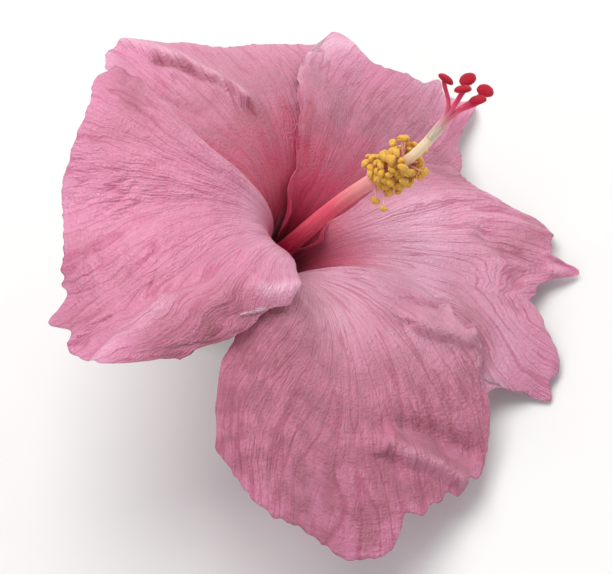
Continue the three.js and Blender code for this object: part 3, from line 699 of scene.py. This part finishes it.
def wrinkled(points, petal, number, u, v, flow, distance):
    # puffed skin between sunken veins, then the folds; all along the upper face's normal
    x, y = flow * corolla["halfWidth"], distance
    lift = 0 * u
    for k, (apart, long, height) in enumerate(corolla["wrinkles"]):
        sway = softNoise(x / 9, y / 14, 7 * number + k)
        wave = softNoise(x / apart + 0.4 * sway, y / long, 31 * number + k)
        lift = lift + height * (np.sqrt(wave * wave + 0.02) - 0.4)
    (start, over), (tip, tipOver, calm) = corolla["wrinklesGrow"], corolla["tipCalms"]
    lift = lift * petal["wrinkle"] * smooth((v - start) / over) * (1 - calm * smooth((v - tip) / tipOver))
    for k, (atU, atV, overU, overV, height, apart, turn) in enumerate(petal["pleats"]):
        turn = math.radians(turn)
        across = x * math.cos(turn) - y * math.sin(turn)
        along = x * math.sin(turn) + y * math.cos(turn)
        sway = softNoise(x / 7, y / 7, k)
        wave = softNoise(across / apart + 0.7 * sway, along / (6 * apart), 50 + number + k)
        lift = lift + height * (np.abs(wave) ** 0.8 - 0.4) * bell(u, atU, overU) * bell(v, atV, overV)
    for fold in petal["folds"]:
        lift = lift + foldLift(points, u, v, fold)
    return points - gridNormals(points) * lift[..., None]


for number, petal in enumerate(petals):
    makePetal(number, petal)
print("petals made")

column = {
    "length": 71, "rise": [5, 8, 9, -1, -9, 12, 20], "swing": [0, 2, 0, -3, -6],
    "tip": 52, "radii": [2.1, 1.9, 1.65, 1.45, 1.4], "sides": 40, "steps": 120, "flutes": (5, 0.05),
    "base": (0.40, 0.004, 0.04), "middle": (0.88, 0.13, 0.21), "top": (1.0, 0.45, 0.43),
    "skin": {"roughness": 0.4, "subsurface": 0.3, "veins": 4.0, "bump": 0.3, "grain": 0.0008},
}


def alongColumn(distance):
    # a point of the column's curve, and the directions beside, above and along it
    steps = 40

    def heading(at):
        rise = math.radians(through(column["rise"], at / column["length"]))
        swing = math.radians(through(column["swing"], at / column["length"]))
        return np.array([math.cos(rise) * math.sin(swing), math.sin(rise),
                         math.cos(rise) * math.cos(swing)])

    point = sum(heading(distance * (k + 0.5) / steps) for k in range(steps)) * distance / steps
    forward = heading(distance)
    side = unit(np.cross((0, 1, 0), forward))
    return point, side, unit(np.cross(side, forward)), forward


def tube(rings, radii, sides, flutes=0, fluteDepth=0.0, low=0, high=1):
    # a closed round tube and its places, -1 to 1 around it and low to high along it;
    # rings holds (point, side, up) at each step
    turn = np.radians(np.arange(sides) * 360 / sides)
    ripple = 1 - fluteDepth * (0.5 + 0.5 * np.cos(flutes * turn))
    points = [rings[0][0]]
    for (point, side, up), radius in zip(rings, radii):
        points += list(point + radius * ripple[:, None] * (
            np.cos(turn)[:, None] * side + np.sin(turn)[:, None] * up))
    points.append(rings[-1][0])
    faces = ringFaces(len(rings) - 1, sides, 1)
    last = len(points) - 1
    for i in range(sides):
        n = (i + 1) % sides
        faces += [(0, 1 + n, 1 + i), (last, last - sides + i, last - sides + n)]
    place = np.zeros((len(points), 3))
    place[1:-1, 0] = np.tile(np.linspace(-1, 1, sides), len(rings))
    place[:, 1] = np.concatenate([[low], np.repeat(np.linspace(low, high, len(rings)), sides), [high]])
    return np.array(points), faces, place


def swung(start, end, angle):
    # one direction turned towards another that is square to it
    return start * math.cos(angle) + end * math.sin(angle)


def makeStemMaterial(name, stops, roughness, subsurface, veins, bump, grain, sheen=0.1,
                     radius=(1, 0.4, 0.3), cloudy=0.12):
    # a fleshy stem or leaf whose colour follows the place along it
    material, tree, shader = newMaterial(name, roughness, subsurface, sheen, 0.0015, radius)
    place, (_, along, _) = placeParts(tree, "alongPlace")
    streaks = useGroup(tree, veinStreaks, {"Place": place, "Veins": veins})
    crepe = useGroup(tree, skinCrepe, {"Size": grain, "Seed": 3.0})
    wander = times(tree, minus(tree, streaks["Veins"], 0.5), 0.05)
    colour = rampNode(tree, plus(tree, along, wander), stops)
    dark = mixNode(tree, 1.0, colour, (0.72, 0.66, 0.62), "MULTIPLY")
    colour = mixNode(tree, times(tree, crepe["Cloud"], cloudy), colour, dark)
    colour = mixNode(tree, times(tree, streaks["Fine"], cloudy), colour, dark)
    height = plus(tree, streaks["Height"], times(tree, crepe["Height"], 0.3))
    rough = rangeNode(tree, crepe["Grain"], 0.0, 1.0, roughness - 0.05, roughness + 0.1)
    finish(tree, shader, colour, height, 0.0003, bump, rough)
    return material


columnSkin = makeStemMaterial("columnSkin", [
    (0.0, column["base"]), (0.28, column["base"]), (0.52, column["middle"]), (0.8, column["top"])],
    **column["skin"])


def makeColumn():
    shares = np.linspace(0, 1, column["steps"] + 1)
    rings = [alongColumn(column["tip"] * share)[:3] for share in shares]
    radii = through(column["radii"], shares)
    radii[-3:] *= (0.97, 0.88, 0.7)
    newStem("columnTube", "staminal_column", columnSkin,
            [tube(rings, radii, column["sides"], *column["flutes"])])


makeColumn()

stamens = {
    "count": 112, "from": 42.6, "to": 51.6, "length": (1.0, 1.9), "rise": (0.15, 0.5), "radius": 0.2,
    "turn": 137.5, "halfSize": (0.92, 0.56, 0.66), "bean": 0.6,
    "antherMesh": (16, 26), "filamentMesh": (8, 6),
    # depth and width of the slit; least size and how much more; height and fineness of the grain
    "slit": (0.28, 0.16), "size": (0.85, 0.35), "grain": (0.05, 7), "bow": 0.35, "taper": (1.5, 0.8),
    # stamens that stand apart: along the column, azimuth, length
    "strays": [(40, 268, 5.4), (43, 92, 5.0), (45, 86, 7.2)],
    # the last colour is painted shade on the side of each anther that faces its filament
    "pollen": (1.0, 0.42, 0.015), "pollenLight": (1.0, 0.76, 0.2), "pollenShade": (0.66, 0.18, 0.01),
    "filament": (0.85, 0.28, 0.32), "filamentTip": (0.9, 0.5, 0.42),
    "skin": {"roughness": 0.4, "subsurface": 0.4, "veins": 2.0, "bump": 0.1, "grain": 0.0005},
}


def antherShape():
    # a kidney: an ellipsoid bent round its middle, with a slit along it
    rows, sides = stamens["antherMesh"]
    theta, phi = ballAngles(rows, sides)
    depth, width = stamens["slit"]
    slit = 1 - depth * np.exp(-((np.sin(phi / 2 - math.pi / 4) / width) ** 2)) * np.sin(theta)
    points = np.stack([np.cos(theta) + 0 * phi, np.sin(theta) * np.cos(phi) * slit,
                       np.sin(theta) * np.sin(phi) * slit], -1) * np.array(stamens["halfSize"])
    bend = stamens["bean"] * points[..., 0] / stamens["halfSize"][0]
    points[..., 1], points[..., 0] = (points[..., 1] - 0.35 * bend ** 2 * 1.6,
                                      points[..., 0] * (1 - 0.1 * points[..., 1]))
    return points.reshape(-1, 3), ringFaces(rows, sides, flipped=True)


def makeStamens():
    shape, shapeFaces = antherShape()
    filaments, anthers = [], []
    count, (steps, sides) = stamens["count"], stamens["filamentMesh"]
    spots = []
    for index in range(count):
        distance = stamens["from"] + (stamens["to"] - stamens["from"]) * (index + 0.5) / count
        length = column["radii"][-1] + stamens["length"][0] + stamens["length"][1] * scatter(index, 2)
        spots.append((distance, index * stamens["turn"], length))
    for index, (distance, azimuth, length) in enumerate(spots + stamens["strays"]):
        point, side, up, forward = alongColumn(distance)
        out = swung(side, up, math.radians(azimuth))
        rise = (stamens["rise"][0] + stamens["rise"][1] * scatter(index, 1)) * (index < count)
        way = unit(out + forward * rise)
        across = unit(np.cross(way, forward))
        rings, radii = [], []
        for t in np.linspace(0.15, 1, steps):
            bow = (math.sin(math.pi * t) * stamens["bow"] * (scatter(index, 5) - 0.5)) * across
            rings.append((point + way * length * t + bow + forward * 0.5 * t * t, across,
                          np.cross(across, way)))
            radii.append(stamens["radius"] * (stamens["taper"][0] - stamens["taper"][1] * t))
        points, faces, place = tube(rings, radii, sides)
        place[:, 0] = scatter(index, 7)
        filaments.append((points, faces, place))
        long = swung(across, np.cross(across, way), 2 * math.pi * scatter(index, 3))
        deep = np.cross(long, way)
        local = shape * (stamens["size"][0] + stamens["size"][1] * scatter(index, 6))
        height, fine = stamens["grain"]
        x, y, z = (local * fine).T
        grain = height * softNoise(x + 3 * index, y + z, index)
        local = local + unit(local) * grain[:, None]
        centre = rings[-1][0] + way * 0.35
        placed = centre + local[:, :1] * long + local[:, 1:2] * way + local[:, 2:] * deep
        tone = np.zeros((len(placed), 3))
        tone[:, 0] = scatter(index, 8)
        tone[:, 1] = shape[:, 1]
        anthers.append((placed, shapeFaces, tone))
    newStem("filaments", "staminal_column", filamentSkin, filaments)
    newStem("anthers", "staminal_column", pollenSkin, anthers)


def makePollenMaterial():
    f = stamens
    material, tree, shader = newMaterial("pollenSkin", 0.42, 0.3, 0.1, 0.0008, (1, 0.6, 0.15))
    shade, depth, _ = placeParts(tree, "alongPlace")[1]
    crepe = useGroup(tree, skinCrepe, {"Size": 0.00022, "Seed": 7.0})
    colour = mixNode(tree, crepe["Grain"], f["pollen"], f["pollenLight"])
    colour = mixNode(tree, times(tree, shade, 0.35), colour, f["pollen"])
    # painted shade: the half of each anther that faces its filament, with the bent ends, is darkened; this
    # is not the slit in the shape
    slit = rangeNode(tree, depth, 0.0, -0.6)
    colour = mixNode(tree, times(tree, slit, 0.5), colour, f["pollenShade"])
    finish(tree, shader, colour, crepe["Height"], 0.0002, 0.9)
    return material


pollenSkin = makePollenMaterial()
filamentSkin = makeStemMaterial("filamentSkin", [(0.0, stamens["filament"]), (1.0, stamens["filamentTip"])],
                                **stamens["skin"])

makeStamens()
print("stamens made")

style = {
    "radii": [1.15, 1.02, 1.0, 1.05], "fork": 63, "from": 49, "longest": 9.5,
    # azimuth, spread and length of each branch, then azimuth and spread of the way its pad faces
    "branches": [(184, 30, 9.5, 293, 25), (268, 10, 9.5, 180, 53), (136, 16, 9.5, 221, 43),
                 (0, 14, 10, 165, 22), (72, 18, 9.5, 208, 45)],
    "branchFoot": (0.45, 3.5), "branchRadii": [0.55, 0.52, 0.42, 0.46],
    "padRadius": 1.6, "padThick": 0.85, "padRaise": 0.35, "padUnder": 0.55, "padKnobs": 0.05,
    # steps along and sides around each mesh
    "shaftMesh": (60, 30), "branchMesh": (40, 14), "padMesh": (18, 36), "flutes": (5, 0.12),
    # place along the style, colour
    "colours": [(0.0, (0.95, 0.50, 0.45)), (0.1, (0.98, 0.80, 0.55)), (0.36, (0.98, 0.80, 0.55)),
                (0.52, (1.0, 0.66, 0.50)), (0.62, (0.95, 0.38, 0.40)), (0.72, (0.84, 0.16, 0.27)),
                (0.95, (0.74, 0.03, 0.13))],
    "skin": {"roughness": 0.42, "subsurface": 0.35, "veins": 3.0, "bump": 0.15, "grain": 0.0006,
             "cloudy": 0.05},
    "velvet": (0.56, 0.001, 0.025), "velvetLight": (0.80, 0.003, 0.045), "velvetRimSheen": (0.95, 0.25, 0.35),
}
styleSkin = makeStemMaterial("styleSkin", style["colours"], **style["skin"])


def makeStigmaMaterial():
    material, tree, shader = newMaterial("stigmaVelvet", 0.55, 0.2, 0.15, 0.0008, (1, 0.2, 0.2))
    shader.inputs["Sheen Tint"].default_value = (1, 0.55, 0.6, 1)
    crepe = useGroup(tree, skinCrepe, {"Size": 0.00016, "Seed": 11.0})
    colour = mixNode(tree, crepe["Grain"], style["velvet"], style["velvetLight"])
    # painted sheen: the pads turn lighter pink at their rims, where they are seen edge-on
    rim = addNode(tree, "LayerWeight", {"Blend": 0.35}).outputs["Facing"]
    colour = mixNode(tree, rangeNode(tree, rim, 0.7, 1.0, 0.0, 0.55), colour, style["velvetRimSheen"])
    finish(tree, shader, colour, crepe["Height"], 0.00025, 1.0)
    return material


stigmaVelvet = makeStigmaMaterial()


def makeStyle():
    total = style["fork"] + style["longest"]

    def share(distance):
        return (distance - style["from"]) / (total - style["from"])

    steps, sides = style["shaftMesh"]
    rings = [alongColumn(d)[:3] for d in np.linspace(style["from"], style["fork"], steps)]
    radii = through(style["radii"], np.linspace(0, 1, steps))
    parts = [tube(rings, radii, sides, *style["flutes"], high=share(style["fork"]))]
    pads = []
    (footOut, footLength), (steps, sides) = style["branchFoot"], style["branchMesh"]
    point, side, up, forward = alongColumn(style["fork"])
    for k, (azimuth, spread, length, padAzimuth, padSpread) in enumerate(style["branches"]):
        out = swung(side, up, math.radians(azimuth))
        beside = np.cross(forward, out)
        rings = []
        for d in np.linspace(-footLength, length, steps):
            angle = math.radians(spread) * float(smooth(d / length))
            at = point + forward * (d * math.cos(angle)) + out * (footOut + d * math.sin(angle))
            way = swung(forward, out, math.radians(spread) * float(smooth(max(d, 0) / length + 0.1)))
            rings.append((at, beside, np.cross(way, beside)))
        radii = through(style["branchRadii"], np.linspace(0, 1, steps))
        parts.append(tube(rings, radii, sides, low=share(style["fork"] - footLength)))
        faced = swung(forward, swung(side, up, math.radians(padAzimuth)), math.radians(padSpread))
        level = unit(np.cross(faced, beside + 0.3 * forward))
        pads.append(stigmaPad(rings[-1][0], level, np.cross(faced, level), faced, k))
    newStem("styleShaft", "style", styleSkin, parts)
    newStem("stigmas", "style", stigmaVelvet, pads)


def stigmaPad(at, beside, across, way, k):
    # a round cushion with a knobbly skin, flatter underneath
    rows, sides = style["padMesh"]
    theta, phi = ballAngles(rows, sides)
    radius = style["padRadius"] * np.sin(theta) ** 0.85
    height = np.cos(theta) * style["padThick"] * np.where(np.cos(theta) > 0, 1, style["padUnder"])
    knobs = 1 + style["padKnobs"] * softNoise(phi * 6 + 0 * theta, theta * 5 + 0 * phi, 40 + k)
    x, y = radius * np.cos(phi) * knobs, radius * np.sin(phi) * knobs
    points = at + way * style["padRaise"] + (
        x[..., None] * beside + y[..., None] * across + (height * knobs)[..., None] * way)
    points = points.reshape(-1, 3)
    return points, ringFaces(rows, sides, flipped=True), np.zeros((len(points), 3))


makeStyle()
print("style made")

leafSkin = {"grain": 0.0009, "sheen": 0.2, "radius": (0.5, 1, 0.2), "cloudy": 0.35}
calyx = {
    "gap": 2.3, "holeRadius": 2.4, "lobes": 5, "cup": 9.5, "lobeTip": 19, "phase": 28,
    "lobeSharpness": 1.3, "bowlShare": 0.3, "around": 200, "along": 60, "ribs": 0.12,
    # thickness at the margin and how much more inside
    "thickness": (0.25, 0.3),
    "green": (0.16, 0.30, 0.05), "light": (0.36, 0.48, 0.13),
    "skin": {"roughness": 0.5, "subsurface": 0.15, "veins": 6.0, "bump": 0.4, **leafSkin},
}
epicalyx = {
    "gap": 3.6, "bractlets": 7, "firstBractlet": 8, "length": 11, "width": 1.9, "taper": 0.75,
    "flare": 2.2, "bowlShare": 0.35, "bractletMesh": (16, 40), "sides": 60,
    "thickness": (0.25, 0.35), "keel": 0.25,
    # radius and height of the corners of the ring that joins the bractlets
    "ring": [(1.9, -6.6), (2.1, -6.75), (2.9, -6.7), (3.15, -6.5), (3.15, -5.7), (2.95, -5.45),
             (2.1, -5.45), (1.9, -5.55)],
}
pedicel = {
    "length": 30, "radii": [1.45, 1.42, 1.45, 1.65], "straight": 4, "bend": 37, "sunk": 0.6, "neck": -4.8,
    "steps": 90, "sides": 32, "flutes": (8, 0.03),
    "receptacle": ((1.45, -4.8), (1.45, -3.6), (3.5, -2.9), (4.4, -1.2), (4.4, -0.35), (0.0, -0.35)),
    "green": (0.17, 0.28, 0.05), "light": (0.32, 0.40, 0.10), "cut": (0.24, 0.25, 0.07),
    "skin": {"roughness": 0.5, "subsurface": 0.1, "veins": 5.0, "bump": 0.3, **leafSkin},
}


def cupPoint(azimuth, distance, gap):
    # the bowl under the claws for distance -1..0, then the wall
    turn = np.radians(90 * (1 + np.minimum(distance, 0)))
    radius = calyx["holeRadius"] + (corolla["neckRadius"] + gap - calyx["holeRadius"]) * np.sin(turn)
    bowl = around(azimuth, radius, -2 * gap * np.cos(turn))
    point, inward = surfaceAt(azimuth, np.maximum(distance, 0))
    wall = point - inward * np.asarray(gap)[..., None]
    return np.where((distance <= 0)[..., None], bowl, wall)


def cupDistance(v, bowlShare, height):
    return np.where(v < bowlShare, v / bowlShare - 1, height * (v - bowlShare) / (1 - bowlShare))


def makeCalyx():
    across, along = calyx["around"], calyx["along"]
    u = np.broadcast_to(-1 + 2 * np.arange(across) / across, (along + 1, across))
    v = np.broadcast_to(np.linspace(0, 1, along + 1)[:, None], (along + 1, across))
    azimuth = 180 * u
    lobe = 0.5 + 0.5 * np.cos(np.radians(calyx["lobes"] * (azimuth - calyx["phase"])))
    height = calyx["cup"] + (calyx["lobeTip"] - calyx["cup"]) * lobe ** calyx["lobeSharpness"]
    gap = calyx["gap"] + 0 * u
    points = cupPoint(azimuth, cupDistance(v, calyx["bowlShare"], height), gap)
    ribs = np.cos(np.radians(3 * calyx["lobes"] * (azimuth - calyx["phase"])))
    ribs = calyx["ribs"] * ribs * smooth(v / calyx["bowlShare"])
    points = points - gridNormals(points, True) * ribs[..., None]
    thickness = calyx["thickness"][0] + calyx["thickness"][1] * smooth((1 - v) * 8)
    solid, faces, places = bladeMesh(points, thickness, True)
    flat = np.stack([u * 5, v, 1 + 0 * u], -1).reshape(-1, 3)
    newStem("calyxCup", "calyx", calyxSkin, [(solid, faces, np.concatenate([flat, flat]))], places)


def makeEpicalyx():
    outline, sides = epicalyx["ring"], epicalyx["sides"]
    phi = np.arange(sides) * 360 / sides
    points = np.concatenate([around(phi, radius, height) for radius, height in outline])
    faces = [tuple(k % len(points) for k in face) for face in ringFaces(len(outline), sides)]
    parts = [(points, faces, np.tile((0, 0.1, 0), (len(points), 1)))]
    u, v = bladeGrid(*epicalyx["bractletMesh"])
    for k in range(epicalyx["bractlets"]):
        middle = 360 * k / epicalyx["bractlets"] + epicalyx["firstBractlet"]
        distance = cupDistance(v, epicalyx["bowlShare"], epicalyx["length"])
        gap = epicalyx["gap"] + epicalyx["flare"] * v ** 3
        tip = 1 - epicalyx["taper"] * v ** 2 - 0.2 * smooth((v - 0.93) / 0.07)
        width = epicalyx["width"] / 2 * tip
        points = cupPoint(middle + 0 * u, distance, gap)
        points = points + (u * width)[..., None] * around(middle + 90, 1.0, 0)
        points = points + gridNormals(points) * (epicalyx["keel"] * (1 - u * u) * width)[..., None]
        thin, more = epicalyx["thickness"]
        solid, faces, _ = bladeMesh(points, thin + more * (1 - np.abs(u)) ** 0.5)
        flat = np.stack([u * 0.4 + k, v, 0 * u], -1).reshape(-1, 3)
        parts.append((solid, faces, np.concatenate([flat, flat])))
    newStem("epicalyxRing", "epicalyx", calyxSkin, parts)


def makePedicel():
    side = np.array([0.0, 1.0, 0.0])
    steps, sides = pedicel["steps"], pedicel["sides"]

    def heading(at):
        angle = math.radians(pedicel["bend"]) * float(
            smooth((at - pedicel["straight"]) / (pedicel["length"] - pedicel["straight"])))
        return np.array([-math.sin(angle), 0, -math.cos(angle)])

    point = np.array([0, 0, pedicel["neck"] + pedicel["sunk"]])
    rings = [(point, side, unit(np.cross(side, heading(0))))]
    stride = pedicel["length"] / steps
    for k in range(steps):
        point = point + heading(stride * (k + 0.5)) * stride
        rings.append((point, side, unit(np.cross(side, heading(stride * (k + 1))))))
    radii = through(pedicel["radii"], np.linspace(0, 1, steps + 1))
    radii[-2:] *= (0.98, 0.93)
    parts = [tube(rings, radii, sides, *pedicel["flutes"])]
    outline = pedicel["receptacle"]
    phi = np.arange(sides) * 360 / sides
    points = np.concatenate([around(phi, radius, height) for radius, height in outline[:-1]]
                            + [[(0, 0, outline[-1][1])], [(0, 0, outline[0][1])]])
    faces = ringFaces(len(outline) - 2, sides)
    top, bottom = len(points) - 2, len(points) - 1
    for i in range(sides):
        n = (i + 1) % sides
        faces += [(top, top - sides + i, top - sides + n), (bottom, n, i)]
    parts.append((points, faces, np.zeros((len(points), 3))))
    newStem("stalk", "pedicel", stalkSkin, parts)


calyxSkin = makeStemMaterial("calyxSkin", [
    (0.0, calyx["green"]), (0.5, calyx["light"]), (1.0, calyx["green"])], **calyx["skin"])
stalkSkin = makeStemMaterial("stalkSkin", [
    (0.0, pedicel["light"]), (0.5, pedicel["green"]), (1.0, pedicel["cut"])], **pedicel["skin"])

makeCalyx()
makeEpicalyx()
makePedicel()
print("calyx and stalk made")

floorLook = {"size": 3.0, "colour": (0.86, 0.86, 0.85), "roughness": 0.8}


def makeFloor():
    half = floorLook["size"] / 2
    mesh = bpy.data.meshes.new("floor")
    mesh.from_pydata([(x * half, y * half, 0) for x, y in ((-1, -1), (1, -1), (1, 1), (-1, 1))], [],
                     [(0, 1, 2, 3)])
    material, tree, shader = emptyMaterial("floorPaper")
    noise = addNode(tree, "TexNoise", {"Scale": 180.0, "Detail": 3.0})
    colour = floorLook["colour"]
    mixed = mixNode(tree, noise.outputs["Fac"], colour, [0.97 * c for c in colour])
    plug(tree, mixed, shader.inputs["Base Color"])
    shader.inputs["Roughness"].default_value = floorLook["roughness"]
    shader.inputs["Specular IOR Level"].default_value = 0.1
    mesh.materials.append(material)
    floor = addObject("floor", mesh)


makeFloor()

lights = {
    "sky": (0.96, 0.97, 1.0), "skyStrength": 0.5,
    # name: direction it comes from, distance, size, watts, colour
    "lamps": {
        "keyLight": ((0.1, 0.3, 1.0), 0.9, 0.7, 6.3, (1.0, 0.98, 0.95)),
        "leftLight": ((-0.9, -0.3, 0.7), 1.0, 0.8, 1.1, (0.95, 0.97, 1.0)),
        "rightLight": ((0.8, 0.4, 0.5), 1.0, 0.8, 1.3, (1.0, 0.98, 0.96)),
    },
}


def makeLights():
    world = bpy.data.worlds.new("studio")
    world.use_nodes = True
    back = world.node_tree.nodes["Background"]
    back.inputs["Color"].default_value = (*lights["sky"], 1)
    back.inputs["Strength"].default_value = lights["skyStrength"]
    bpy.context.scene.world = world
    for name, (way, distance, size, watts, colour) in lights["lamps"].items():
        data = bpy.data.lights.new(name, "AREA")
        data.energy, data.size, data.color = watts, size, colour
        lamp = addObject(name, data)
        way = Vector(way).normalized()
        lamp.location = way * distance
        lamp.rotation_mode = "QUATERNION"
        lamp.rotation_quaternion = way.to_track_quat("Z", "Y")


makeLights()

view = {"aim": (-2.37, -1.69, 24.64), "azimuth": 3.18, "elevation": 51.45, "roll": -25.68,
        "distance": 380, "lens": 114.6, "look": "Standard"}


def makeCamera():
    azimuth, elevation, roll = (math.radians(view[key]) for key in ("azimuth", "elevation", "roll"))
    back = Vector((math.sin(azimuth) * math.cos(elevation), -math.cos(azimuth) * math.cos(elevation),
                   math.sin(elevation)))
    level = Vector((0, 0, 1)).cross(back).normalized()
    right = swung(level, back.cross(level), roll)
    data = bpy.data.cameras.new("camera")
    data.lens, data.sensor_width = view["lens"], 36
    data.clip_start, data.clip_end = 0.01, 10
    camera = addObject("camera", data)
    turn = Matrix((right, back.cross(right), back)).transposed().to_4x4()
    camera.matrix_world = Matrix.Translation((Vector(view["aim"]) + back * view["distance"]) * mm) @ turn
    bpy.context.scene.camera = camera
    bpy.context.scene.view_settings.view_transform = view["look"]


makeCamera()
print("light and camera set")
